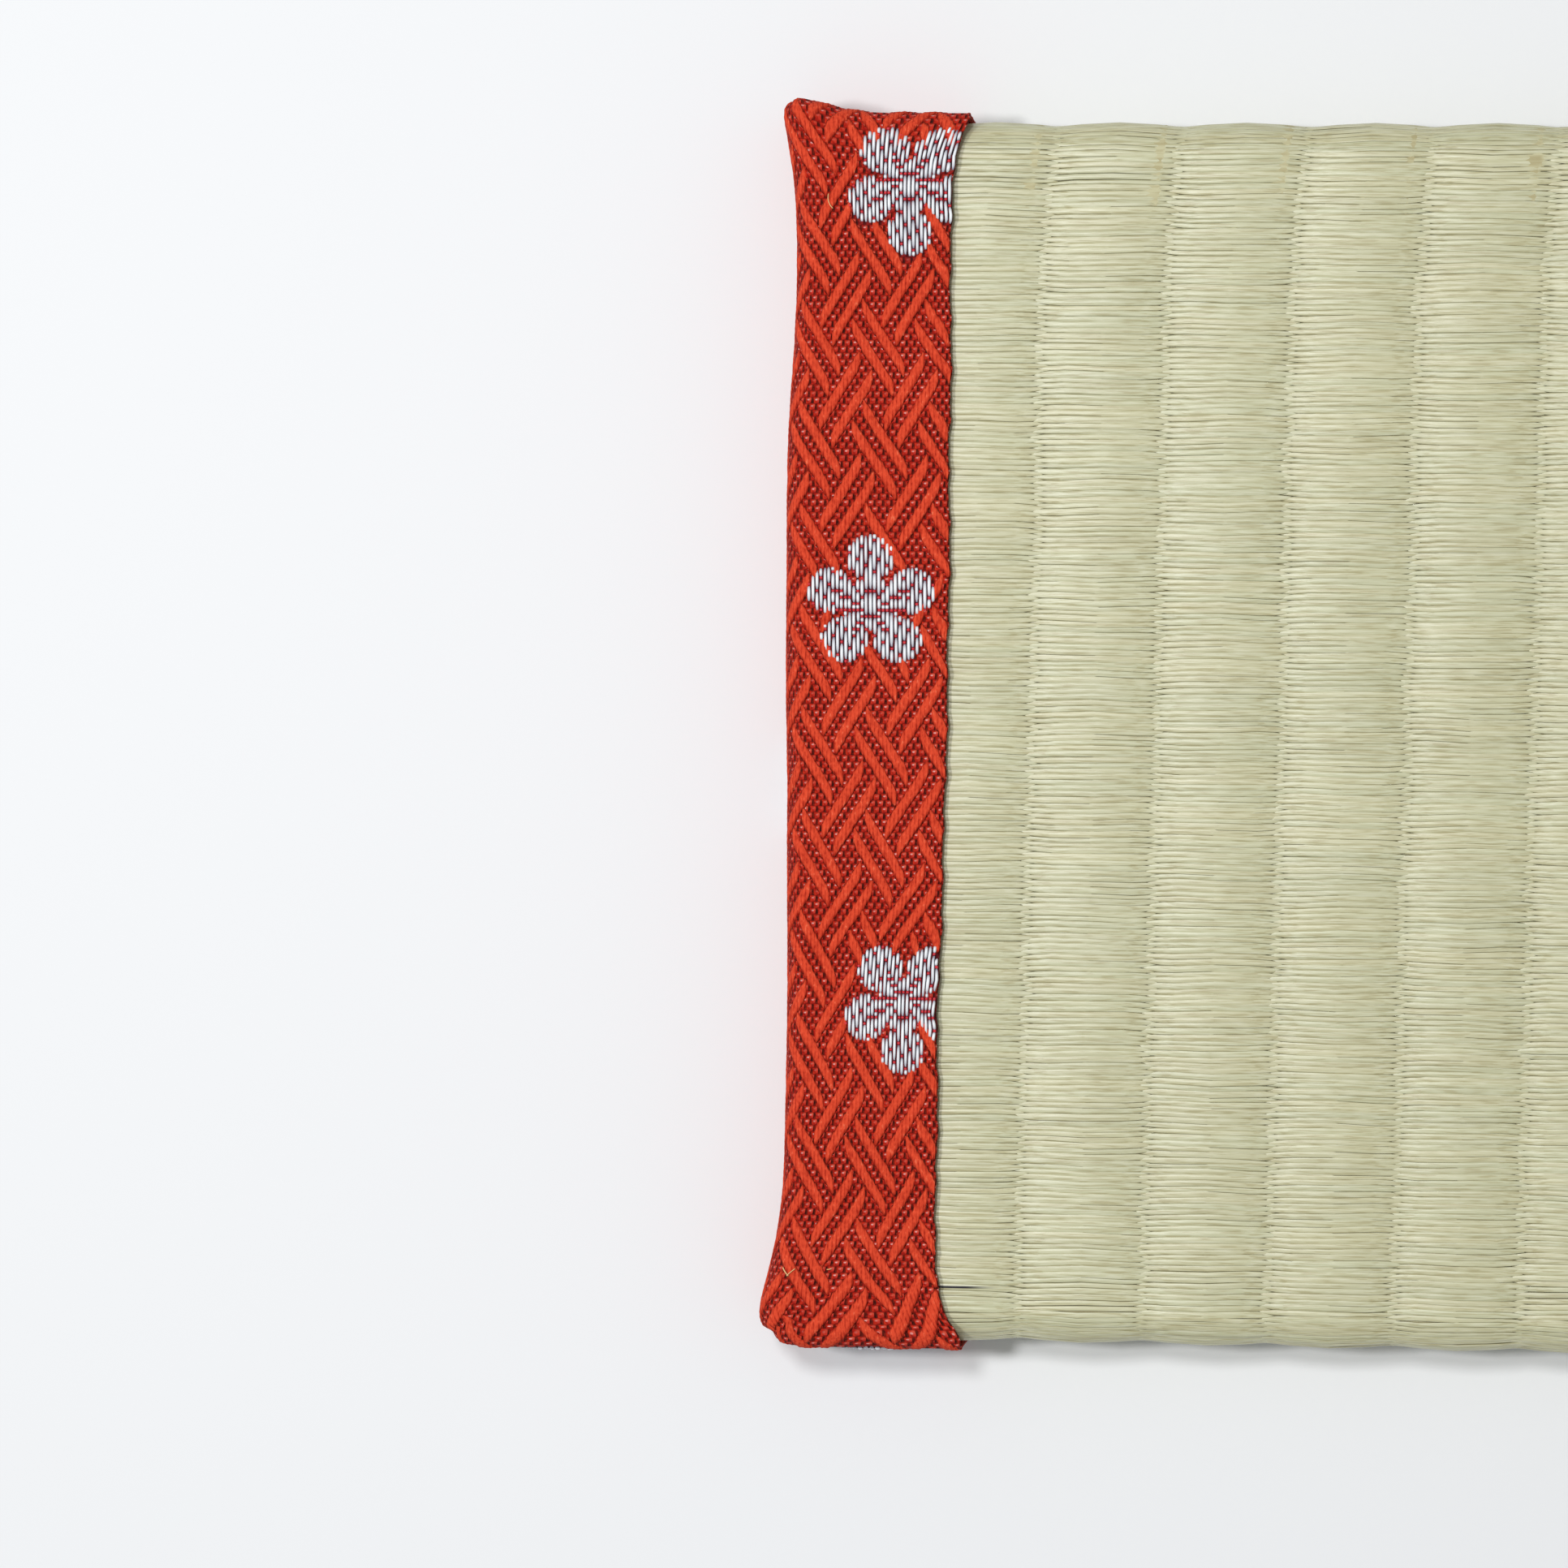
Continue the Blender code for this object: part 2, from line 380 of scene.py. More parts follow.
def stem_rows():
    """For each rib, the middle and half width of every stem that floats over it."""
    around = round_the_board(np.zeros(1))[4]
    count = int(around / STEM_PITCH)
    pitch = around / count
    rows = []
    for rib in range(SHOWN_RIBS):
        middles = (np.arange(count) + 0.5 * (rib % 2)) * pitch
        middles += random.uniform(-STEM_STRAY, STEM_STRAY, count) * pitch
        low = (middles + np.roll(middles, 1)) / 2
        low[0] -= around / 2
        high = (middles + np.roll(middles, -1)) / 2
        high[-1] += around / 2
        rows.append(((low + high) / 2, (high - low) / 2))
    return rows


def lay_stems(rib, middles, halves):
    """The corners and tones of the stems over one rib."""
    stations = np.concatenate([STEM_STATIONS, RIB_PITCH - STEM_STATIONS[-2::-1]])
    along = stations[STEM_TEMPLATE.ring][None, :]
    across = STEM_WIDE[STEM_TEMPLATE.side][None, :]
    to_groove = np.minimum(along, RIB_PITCH - along)
    count = len(middles)
    middles = middles[:, None]
    full = smooth((to_groove - TAPER_START) / TAPER_LENGTH)
    wide = halves[:, None] * random.uniform(*STEM_COVER, (count, 1))
    wide = wide * (TIP_WIDTH + (1 - TIP_WIDTH) * full)
    thick = STEM_THICK * (TIP_THICKNESS + (1 - TIP_THICKNESS) * full)
    thick = thick * random.uniform(*STEM_FULLNESS, (count, 1))
    dive = STEM_DIVE * (1 - smooth((to_groove - DIVE_START) / DIVE_LENGTH))
    bend = random.uniform(-STEM_BEND, STEM_BEND, (count, 2))
    share = along / RIB_PITCH
    x = along + FIRST_GROOVE + rib * RIB_PITCH
    y, z, out_y, out_z, _ = round_the_board(np.repeat(middles, x.shape[1], axis=1))
    loose = (np.abs(y) > LOOSE_FROM) * random.uniform(0, 1, (count, 1)) ** 3
    wide = wide * (1 - LOOSE_NARROWING * loose)
    sink = random.uniform(-STEM_SINK, 0.0, (count, 1))
    height = np.hypot(rib_height(x), GROOVE_FILL)
    out = RUSH_ROUNDING - RIB_DEPTH + height - CROWN_DROP - thick - dive + sink
    out = out + thick * STEM_TALL[STEM_TEMPLATE.side][None, :]
    side = wide * across + bend[:, :1] * (1 - share) + bend[:, 1:] * share
    for high, length, length_across in SWAYS:
        side = side + high * np.sin(x / length + middles / length_across)
    y = y + out * out_y + side * out_z
    z = z + out * out_z - side * out_y
    x = x + rib_wander(x, y) + random.uniform(-GROOVE_STRAY, GROOVE_STRAY, (count, 1))
    tones = np.empty((count, x.shape[1], 4))
    tones[..., 0] = random.uniform(0, 1, (count, 1))
    # How strong the painted shade along this stem's edges is
    tones[..., 1] = random.uniform(0, 1, (count, 1))
    tones[..., 2] = np.clip((to_groove - STEM_STATIONS[0]) / GROOVE_ZONE, 0, 1)
    tones[..., 3] = np.abs(across)
    return np.stack([x, y, z], axis=-1), tones


# %% [markdown]
# The stems' finish reads what each stem was given: its tone, from green to straw, how strong the
# painted shade along its edges is, and how far a place is from the groove and from the stem's middle.
# A noise drawn out along X is the grain that runs down a stem, with olive and pale streaks; the pale
# ones are partly a painted sheen. Beside the groove the edges have a small brown nick of painted
# shade, where a stem dives. The shade in one slit beside the left border, where two stems have
# parted, is painted at its place.

# %% The finish of the rush
GREEN_RUSH = tint(193, 193, 158)
STRAW_RUSH = tint(197, 193, 156)
# Painted shade: the brown of the creases between stems and of the nicks where they dive
SHADE_BROWN_RUSH = tint(122, 108, 72)
OLIVE_RUSH = tint(166, 157, 114)
# Pale streaks of the grain, partly a painted sheen
PALE_SHEEN_RUSH = tint(226, 225, 200)
# The shade inside the slit, painted as a near-black colour
SLIT_SHADE = tint(20, 16, 24)
# Where the two stems have parted, and over which stretch of X the slit fades
SLIT_Y = -68.25
SLIT_X = (-47.6, -52.6)
SLIT_HALF_WIDTH = (0.2, 0.09)
# The grain's two noises: how much finer each one is than the group's inputs say
GRAIN_STEPS = (1.0, 0.2)


def make_grain_group():
    """Fine lines and broad blotches along X, as a stem's grain has, and the place itself."""
    inputs = [("Fineness", "NodeSocketFloat", 5.0), ("Length", "NodeSocketFloat", 0.1)]
    group, given, result = new_group("rush grain", inputs, ["Line", "Blotch", "X", "Y"])
    place = group.nodes.new("ShaderNodeTexCoord").outputs["Object"]
    parts = group.nodes.new("ShaderNodeSeparateXYZ")
    connect(group, place, parts.inputs[0])
    outputs = []
    for finer in GRAIN_STEPS:
        drawn = group.nodes.new("ShaderNodeCombineXYZ")
        across = calc(group, "MULTIPLY", given["Fineness"], finer / MM)
        connect(group, calc(group, "MULTIPLY", parts.outputs[0], calc(
            group, "MULTIPLY", given["Length"], finer / MM)), drawn.inputs[0])
        connect(group, calc(group, "MULTIPLY", parts.outputs[1], across), drawn.inputs[1])
        connect(group, calc(group, "MULTIPLY", parts.outputs[2], across), drawn.inputs[2])
        outputs.append(add_noise(group, drawn.outputs[0], 1.0, detail=2.0))
    connect(group, outputs[0], result["Line"])
    connect(group, outputs[1], result["Blotch"])
    connect(group, parts.outputs[0], result["X"])
    connect(group, parts.outputs[1], result["Y"])
    return group


def make_rush_finish():
    finish, tree, shader = new_finish("rush stems", 0.36)
    straw, edge_shade_strength, from_groove, from_middle = read_tone(tree)
    grain = use_group(tree, rush_grain)
    base = blend(tree, straw, GREEN_RUSH, STRAW_RUSH)
    base = blend(tree, fade(tree, grain["Line"], 0.48, 0.36, 0.0, 0.6), base, OLIVE_RUSH)
    # Pale streaks along the stems, partly a painted sheen
    base = blend(tree, fade(tree, grain["Line"], 0.52, 0.68, 0.0, 0.35), base, PALE_SHEEN_RUSH)
    # Painted shade along each stem's edges, where its neighbours overlap it
    edge_shade = calc(tree, "MULTIPLY", fade(tree, from_middle, 0.72, 1.0), fade(
        tree, edge_shade_strength, 0.0, 1.0, 0.15, 0.6))
    edge_shade = calc(tree, "MULTIPLY", edge_shade, fade(tree, grain["Blotch"], 0.35, 0.6, 0.5, 1.0))
    edge_shade = calc(tree, "MULTIPLY", edge_shade, fade(tree, from_groove, 0.42, 0.6, 0.25, 1.0))
    # A nick of painted shade beside the groove, where a stem dives
    nick_shade = calc(tree, "MULTIPLY", fade(tree, from_groove, 0.45, 0.6), fade(
        tree, from_groove, 0.9, 0.65))
    nick_shade = calc(tree, "MULTIPLY", nick_shade, fade(tree, from_middle, 0.5, 1.0, 0.0, 0.3))
    base = blend(tree, calc(tree, "MAXIMUM", edge_shade, nick_shade), base, SHADE_BROWN_RUSH)
    # The painted shade of the slit between two parted stems
    slit_shade = calc(tree, "ABSOLUTE", calc(tree, "SUBTRACT", grain["Y"], SLIT_Y * MM))
    slit_shade = fade(tree, slit_shade, *(width * MM for width in SLIT_HALF_WIDTH))
    slit_shade = calc(tree, "MULTIPLY", slit_shade, fade(tree, grain["X"], *(x * MM for x in SLIT_X)))
    base = blend(tree, slit_shade, base, SLIT_SHADE)
    lit = tree.nodes.new("ShaderNodeHueSaturation")
    connect(tree, fade(tree, grain["Blotch"], 0.3, 0.7, 0.94, 1.02), lit.inputs["Value"])
    connect(tree, base, lit.inputs["Color"])
    connect(tree, lit.outputs[0], shader.inputs["Base Color"])
    add_bump(tree, shader, grain["Line"], 0.03)
    return finish


rush_grain = make_grain_group()
rush_finish = make_rush_finish()

# %% Making the stems
STEM_PIECES = 4
rush_stems = []
rows = stem_rows()
for number in range(STEM_PIECES):
    ribs = range(number * SHOWN_RIBS // STEM_PIECES, (number + 1) * SHOWN_RIBS // STEM_PIECES)
    laid = [lay_stems(rib, *rows[rib]) for rib in ribs]
    stem_points = np.concatenate([points for points, _ in laid])
    stem_tones = np.concatenate([tones for _, tones in laid])
    rush_stems.append(
        join_copies(f"rush_stems_{number + 1}", STEM_TEMPLATE, stem_points, stem_tones, rush_finish)
    )

# %% [markdown]
# Under the floats lie the stems that have just dived. Only slivers of them show, so they are one
# surface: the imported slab's own faces, merged, pulled in a little, without the two long sides that
# the borders cover. It is pulled in less at the grooves, because the stems' tips leave gaps there
# that would go dark. It is the sheet that wraps the board.

# %% The facing under the stems
FACING_DEPTH = 0.3
FACING_FILL = 1.2
FACING_DARK = tint(176, 166, 124)
FACING_LIGHT = tint(198, 193, 154)


def make_under_rush_finish():
    finish, tree, shader = new_finish("under rush", 0.7)
    grain = use_group(tree, rush_grain, Fineness=2.0)
    colour = blend(tree, fade(tree, grain["Line"], 0.35, 0.65), FACING_DARK, FACING_LIGHT)
    connect(tree, colour, shader.inputs["Base Color"])
    return finish


def make_facing():
    bm = bmesh.new()
    bm.from_mesh(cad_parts["rush_cover"].data)
    bmesh.ops.remove_doubles(bm, verts=bm.verts, dist=0.001 * MM)
    bmesh.ops.recalc_face_normals(bm, faces=bm.faces)
    sides = [f for f in bm.faces if abs(f.normal.x) > 0.9]
    bmesh.ops.delete(bm, geom=sides, context="FACES")
    for vertex in bm.verts:
        vertex.normal_update()
    moves = [(vertex, vertex.normal.copy()) for vertex in bm.verts]
    for vertex, out in moves:
        out.x = 0.0
        high = rib_height(vertex.co.x / MM)
        filled = math.hypot(high, GROOVE_FILL) - high
        vertex.co -= out.normalized() * (FACING_DEPTH - FACING_FILL * filled) * MM
    facing = keep_mesh("rush_facing", bm)
    facing.data.materials.append(make_under_rush_finish())
    return facing


rush_facing = make_facing()
print("facing:", len(rush_facing.data.polygons), "faces")

# %% [markdown]
# ## The border cloth
# A strip of brocade is folded over the side of the mat, and its ends are folded down like the end of
# a parcel. The strip's free edge is turned under. It is made the way it is folded: a box with its
# open side to the rush, cut into small cells, rounded by pulling each point to the fold's radius,
# and its extra width rolled under at the mouth. The hem is pressed flatter over the mat's ends, and
# the underside is lifted a little, for the threads that stand out of it.

# %% Sizes of the border
BORDER_OUTER = -75.0
BORDER_WIDTH = 19.4
BORDER_INNER = BORDER_OUTER + BORDER_WIDTH
END_WRAP = 0.75
BORDER_END = RUSH_END + END_WRAP
FOLD = 2.4
HEM_FOLD = 0.42
HEM_DEPTH = 5.0
# How much flatter the hem is pressed over the mat's ends
END_PRESS = 0.4
CLOTH_CELL = 0.9
ARC = FOLD * math.pi / 2
CORE_X = BORDER_OUTER + FOLD
CORE_Y = BORDER_END - FOLD
CORE_LOW = FOLD
CORE_HIGH = MAT_THICKNESS - FOLD
TOP_RUN = BORDER_INNER - CORE_X
SIDE_RUN = CORE_HIGH - CORE_LOW

# %% How the soft cloth strays from the straight one
REST_LIFT = 0.3
# How far the side swells outward, and how far it draws back in at its top and its foot
SIDE_SWELL = 0.35
SIDE_LEAN = 0.6
CORNER_PUFF = 0.5
MOUTH_REACH = 4.5
SCALLOP_REACH = 2.5
# The waves of the inner fold: each one's period along Y, its height and its start
FOLD_SCALLOPS = (
    (3.1, 0.07, 0.0),
    (6.27, 0.1, 1.0),
    (23.0, 0.12, 2.0),
)
# Each corner's end, how far it stands out along X and Y, and how far that reaches along X and Y
CORNERS = (
    (1, 1.6, 2.1, 5.2, 6.5),
    (-1, 3.1, 0.1, 9.0, 11.5),
)
# For each end, how round its corner is, seen from above, and how far its mouth spreads over the rush
ENDS = (
    (1, 1.5, 2.1),
    (-1, 5.5, 3.1),
)
# How far the outer side and the inner fold stray from straight, towards +X, at each y
EDGES = np.array((
    (-76, 0.0, -0.2),
    (-52, 0.3, -0.4),
    (-35, 0.4, -0.4),
    (-10, 0.1, 0.1),
    (10, -0.3, 0.3),
    (32, -0.4, 0.2),
    (55, 0.5, 0.1),
    (76, 0.1, 0.0),
))


def edge_stray(y, column):
    """The stray of an edge of the border at y, smoothly from row to row of the table."""
    row = np.clip(np.searchsorted(EDGES[:, 0], y) - 1, 0, len(EDGES) - 2)
    here, there = EDGES[row], EDGES[row + 1]
    share = smooth((y - here[..., 0]) / (there[..., 0] - here[..., 0]))
    return here[..., column] + (there[..., column] - here[..., column]) * share


def shape_border(points):
    """Moves points of the straight left border to where the soft, folded cloth has them."""
    x, y, z = points[..., 0], points[..., 1], points[..., 2]
    up = z / MAT_THICKNESS
    outward = 1 - smooth((x - BORDER_OUTER) / BORDER_WIDTH)
    moved = np.zeros_like(points)
    for end, rounding, flare in ENDS:
        in_x = np.maximum(rounding - (x - BORDER_OUTER), 0.0)
        in_y = np.maximum(rounding - (BORDER_END - y * end), 0.0)
        pull = 1 - np.maximum(in_x, in_y) / np.maximum(np.hypot(in_x, in_y), 1e-6)
        endness = (BORDER_END - y * end) / MOUTH_REACH
        moved[..., 0] += in_x * pull + flare * (1 - outward) ** 3 * np.exp(-endness ** 2)
        moved[..., 1] -= in_y * pull * end
    moved[..., 0] += edge_stray(y, 1) * outward + edge_stray(y, 2) * (1 - outward)
    bulge = np.sin(np.pi * np.clip(up, 0, 1))
    moved[..., 0] += (SIDE_LEAN * (1 - bulge) - SIDE_SWELL) * outward ** 4
    for period, height, start in FOLD_SCALLOPS:
        wave = np.sin(2 * np.pi * y / period + start)
        moved[..., 0] += height * wave * smooth((x - BORDER_INNER + SCALLOP_REACH) / SCALLOP_REACH)
    for end, out_x, out_y, reach_x, reach_y in CORNERS:
        from_end = np.maximum(BORDER_END - y * end, 0.0) / reach_y
        from_side = np.maximum(x - BORDER_OUTER, 0.0) / reach_x
        near = np.exp(-from_end ** 2 - from_side ** 2)
        moved[..., 0] -= out_x * near
        moved[..., 1] += out_y * near * end
        moved[..., 2] += CORNER_PUFF * near * up
    moved[..., 2] += REST_LIFT * (1 - smooth(z / FOLD))
    return points + moved


# %% [markdown]
# The cloth carries two coordinates, as it lies flat before it is folded: u is X on the top face and
# goes on round the side and underneath, and v is Y and goes on down the ends. One function turns
# them into a place on the folded border, and every thread is laid with it.

# %% From flat cloth to the folded border


def fold_cloth(u, v, lift=0.0):
    """Where a point of the flat cloth lies on the left border, lift above its surface."""
    s = BORDER_INNER - u
    turn = np.clip((s - TOP_RUN) / FOLD, 0, np.pi / 2)
    turn = turn + np.clip((s - TOP_RUN - ARC - SIDE_RUN) / FOLD, 0, np.pi / 2)
    core_x = CORE_X + np.maximum(TOP_RUN - s, 0) + np.maximum(s - TOP_RUN - 2 * ARC - SIDE_RUN, 0)
    core_z = CORE_HIGH - np.clip(s - TOP_RUN - ARC, 0, SIDE_RUN)
    past = np.abs(v) - CORE_Y
    tip = np.clip(past / FOLD, 0, np.pi / 2)
    tip = tip + np.clip((past - ARC - SIDE_RUN) / FOLD, 0, np.pi / 2)
    core_z = core_z - np.clip(past - ARC, 0, SIDE_RUN)
    end = np.sign(v)
    base_y = np.where(past > 0, CORE_Y * end, v)
    out = np.stack([-np.sin(turn) * np.cos(tip), np.sin(tip) * end, np.cos(turn) * np.cos(tip)], -1)
    core = np.stack([core_x, base_y, core_z], axis=-1)
    surface = core + FOLD * out
    return shape_border(surface) + out * np.asarray(lift)[..., None]


# Normals that point down further than this belong to the underside, and not to an end
UNDERSIDE = -0.7


def flat_place(points, normals):
    """The flat cloth's u and v at points of the straight, folded border: fold_cloth turned round."""
    x, y, z = points[..., 0], points[..., 1], points[..., 2]
    out = np.stack([
        np.minimum(x - CORE_X, 0),
        y - np.clip(y, -CORE_Y, CORE_Y),
        z - np.clip(z, CORE_LOW, CORE_HIGH),
    ], -1) / FOLD
    on_end = (np.abs(normals[..., 1]) > np.abs(normals[..., 0]) + 1e-4) & (normals[..., 2] > UNDERSIDE)
    turn = np.arctan2(np.abs(out[..., 0]), out[..., 2])
    under = turn > np.pi / 2
    upper = np.minimum(turn, np.pi / 2) * FOLD + np.clip(CORE_HIGH - z, 0, SIDE_RUN)
    s = TOP_RUN - np.maximum(x - CORE_X, 0) + upper
    lower = TOP_RUN + ARC + SIDE_RUN + (turn - np.pi / 2) * FOLD + np.maximum(x - CORE_X, 0)
    s = np.where(under, lower, s)
    end = np.sign(y)
    tip = np.arctan2(np.abs(out[..., 1]), out[..., 2])
    down = CORE_Y + tip * FOLD + np.clip(CORE_HIGH - z, 0, SIDE_RUN)
    u = np.where(on_end, x, BORDER_INNER - s)
    v = np.where(on_end, end * down, y)
    return u, v


# %% Making the cloth


def straight_edges(bm, axis):
    return [e for e in bm.edges if abs((e.verts[0].co - e.verts[1].co).normalized()[axis]) > 0.99]


def roll_hem(points):
    """Rolls what reaches past the border's inner edge under, round a small fold."""
    start = BORDER_INNER - HEM_FOLD
    past = np.maximum(points[:, 0] - start, 0.0)
    angle = np.minimum(past / HEM_FOLD, np.pi)
    after = np.maximum(past - HEM_FOLD * np.pi, 0.0)
    x = np.where(past > 0, start + HEM_FOLD * np.sin(angle) - after, points[:, 0])
    return x, HEM_FOLD * (1 - np.cos(angle))


def make_cloth(name):
    widest = BORDER_INNER - HEM_FOLD + HEM_FOLD * math.pi + HEM_DEPTH
    low = np.array((BORDER_OUTER, -BORDER_END, 0.0))
    high = np.array((widest, BORDER_END, MAT_THICKNESS))
    bm = bmesh.new()
    bmesh.ops.create_cube(bm, size=1.0)
    for vertex in bm.verts:
        vertex.co = Vector((low + high) / 2 + np.array(vertex.co) * (high - low))
    for axis, cell in ((1, CLOTH_CELL), (2, CLOTH_CELL), (0, CLOTH_CELL / 2)):
        cuts = int((high - low)[axis] / cell)
        bmesh.ops.subdivide_edges(
            bm, edges=straight_edges(bm, axis), cuts=cuts, use_grid_fill=True
        )
    mouth = [f for f in bm.faces if min(v.co.x for v in f.verts) > widest - 0.001]
    bmesh.ops.delete(bm, geom=mouth, context="FACES")

    points = np.array([v.co for v in bm.verts])
    hem_x, inset = roll_hem(points)
    core = points.copy()
    core[:, 0] = np.maximum(points[:, 0], CORE_X)
    core[:, 1] = np.clip(points[:, 1], -CORE_Y, CORE_Y)
    core[:, 2] = np.clip(points[:, 2], CORE_LOW, CORE_HIGH)
    out = points - core
    out /= np.linalg.norm(out, axis=1, keepdims=True)
    flat = core + out * FOLD
    folded = flat.copy()
    folded[:, 0] = np.where(points[:, 0] > CORE_X, hem_x, flat[:, 0])
    inset *= 1 - END_PRESS * np.abs(out[:, 1])
    shaped = shape_border(folded) - out * inset[:, None]

    layer = bm.loops.layers.uv.new("cloth")
    bm.verts.index_update()
    corners = [loop for face in bm.faces for loop in face.loops]
    which = np.array([loop.vert.index for loop in corners])
    bm.faces.index_update()
    face_out = np.array([np.mean([out[v.index] for v in f.verts], axis=0) for f in bm.faces])
    u, v = flat_place(flat[which], face_out[[loop.face.index for loop in corners]])
    for loop, place_u, place_v in zip(corners, u, v):
        loop[layer].uv = (place_u, place_v)
    for vertex, place in zip(bm.verts, shaped):
        vertex.co = Vector(place * MM)
    bmesh.ops.recalc_face_normals(bm, faces=bm.faces)
    return keep_mesh(name, bm)


border_cloth = make_cloth("border_cloth_left")
print("border cloth:", len(border_cloth.data.polygons), "faces")

# %% [markdown]
# ## The pattern of the cloth
# The brocade's figures are long floats of thread over a plain ground. The bars are the old cypress
# fence pattern, short slanting bars that lean left and right in turn. The plum blossoms are floats of
# silver thread, tied down at every fifth row so that they do not snag. A loom makes both the same
# way, thread by thread, so a loop over the threads does it here: along each thread it finds the runs
# that lie in a figure, and each run becomes one raised float.

# %% Sizes of the pattern
THREAD = 0.4975
ROW = 0.784
REPEAT_U = 16 * THREAD
REPEAT_V = 16 * ROW
FENCE_U = -65.0
FENCE_V = 15.22
BAR_HALF_THREADS = 5.15
BAR_HALF_WIDE = 1.9
BAR_HEIGHT = 0.2
# The bars of one repeat: where each one's middle is, and which way it leans
BARS = (
    (FENCE_U - 3.87, FENCE_V + 1.26, 1),
    (FENCE_U - 2.33, FENCE_V - 0.9, 1),
    (FENCE_U + 1.57, FENCE_V - 4.71, -1),
    (FENCE_U + 0.2, FENCE_V + 5.41, -1),
)
BLOSSOM_U = -65.35
BLOSSOM_V = 15.46
BLOSSOM_REACH = 9.0
# A blossom: for each petal its angle, how far out its middle is, and its radius; then the heart
PETALS = (
    (90, 5.65, 2.9),
    (18, 5.1, 2.9),
    (162, 5.1, 2.9),
    (-54, 5.4, 2.9),
    (-126, 5.4, 2.9),
    (0, 0.0, 3.3),
)
BLOSSOM_STEP = 4 * REPEAT_V
BLOSSOM_SHIFT = 11 * THREAD
BLOSSOM_RISE = 1.05
BLOSSOM_BESIDE = 4 * REPEAT_U
BLOSSOM_COLUMNS = range(3)
BLOSSOM_ROWS = range(-3, 3)
PETAL_THREADS = 17
# A blossom's heart has no satin ties within this many rows and threads
HEART_ROWS = 4
HEART_THREADS = 7
SATIN_REPEAT = 5
TIE_HALF_ROWS = 0.24
# How far the woven figures have drifted along u and v, at each v
DRIFT = np.array((
    (-84, 1.6, 0.6),
    (-76, 1.6, 0.6),
    (-67, 0.8, 0.0),
    (-55, 0.1, 0.0),
    (-43, -0.2, 0.0),
    (-31, -0.1, 0.1),
    (-19, 0.5, 0.0),
    (-7, 0.7, 0.0),
    (5, 0.6, 0.1),
    (17, 0.4, 0.0),
    (29, 0.3, -0.1),
    (41, -0.2, 0.0),
    (53, -0.8, -0.1),
    (65, -1.0, -0.5),
    (84, -1.0, -1.6),
))
# The ties that draw the stamens: a row, and the first and last thread on either side of the heart
STAMENS = (
    (4, 5, 5),
    (3, 4, 4),
    (2, 0, 1),
    (2, 3, 3),
    (2, 7, 9),
    (1, 2, 2),
    (1, 5, 7),
    (0, 3, 4),
    (-1, 2, 8),
    (-2, 0, 2),
    (-2, 8, 10),
    (-3, 2, 3),
    (-4, 3, 4),
)


def drift(u, v):
    """Where the figure that belongs at u, v has come to lie."""
    return u + np.interp(v, DRIFT[:, 0], DRIFT[:, 1]), v + np.interp(v, DRIFT[:, 0], DRIFT[:, 2])


def blossoms(low, high):
    """The blossoms' centres between two values of u, and which way their petals point."""
    found = []
    for column in BLOSSOM_COLUMNS:
        for row in BLOSSOM_ROWS:
            turned = -1 if row % 2 else 1
            u = BLOSSOM_U - column * BLOSSOM_BESIDE + (0 if turned == 1 else BLOSSOM_SHIFT)
            v = BLOSSOM_V + (row + 0.5 * (column % 2)) * BLOSSOM_STEP
            v += 0 if turned == 1 else BLOSSOM_RISE
            if low < u < high and abs(v) < CORE_Y + 2 * ARC + SIDE_RUN:
                found.append((u, v, turned))
    return found


def depth_in_petals(u, v):
    """How deep u, v from a blossom's heart lie in its petals, the first one pointing along +v."""
    depth = np.full(np.broadcast(u, v).shape, -BLOSSOM_REACH)
    for angle, reach, radius in PETALS:
        du = u - reach * math.cos(math.radians(angle))
        dv = v - reach * math.sin(math.radians(angle))
        depth = np.maximum(depth, radius - np.hypot(du, dv))
    return depth


def in_ties(thread, v):
    """Whether v lies under a tie, along a thread counted from the blossom's heart."""
    row = np.rint(v / ROW)
    close = np.abs(v / ROW - row) < TIE_HALF_ROWS
    heart = (np.abs(row) < HEART_ROWS) & (abs(thread) < HEART_THREADS)
    satin = ((thread + 2 * row) % SATIN_REPEAT == 1) & ~heart
    stamens = np.zeros_like(satin)
    for at_row, first, last in STAMENS:
        if first <= abs(thread) <= last:
            stamens |= row == at_row
    return close & (satin | stamens)


def runs(mask, step, shortest):
    """The first and last index of each stretch where the mask holds."""
    steps = np.diff(mask.astype(np.int8), prepend=0, append=0)
    starts = np.flatnonzero(steps == 1)
    ends = np.flatnonzero(steps == -1) - 1
    return [(a, b) for a, b in zip(starts, ends) if (b - a) * step >= shortest]


# %% Weaving the floats
# The rings of a float: how far along it each one is, its share of the width and of the height
FLOATS = np.array((
    (0.0, 0.5, -0.25),
    (0.16, 0.9, 0.72),
    (0.5, 1.0, 1.0),
    (0.84, 0.9, 0.72),
    (1.0, 0.5, -0.25),
))
THREAD_WIDE = np.array((1.0, 0.5, -0.5, -1.0))
THREAD_TALL = np.array((0.3, 1.0, 1.0, 0.3))
THREAD_TEMPLATE = Template(rings=len(FLOATS), sides=len(THREAD_WIDE))
# A float's half width, how high it stands, and how far it runs on past each of its ends
SILVER_SIZE = (0.228, 0.26, 0.1)
TIE_SIZE = (0.22, 0.2, 0.02)
SHORTEST_SILVER = 0.25
SHORTEST_TIE = 0.2
# How unlike each other the floats are
FLOAT_WIDTHS = (0.92, 1.06)
FLOAT_HEIGHTS = (0.85, 1.1)
FLOAT_SWAY = 0.03
SAMPLE = 0.04
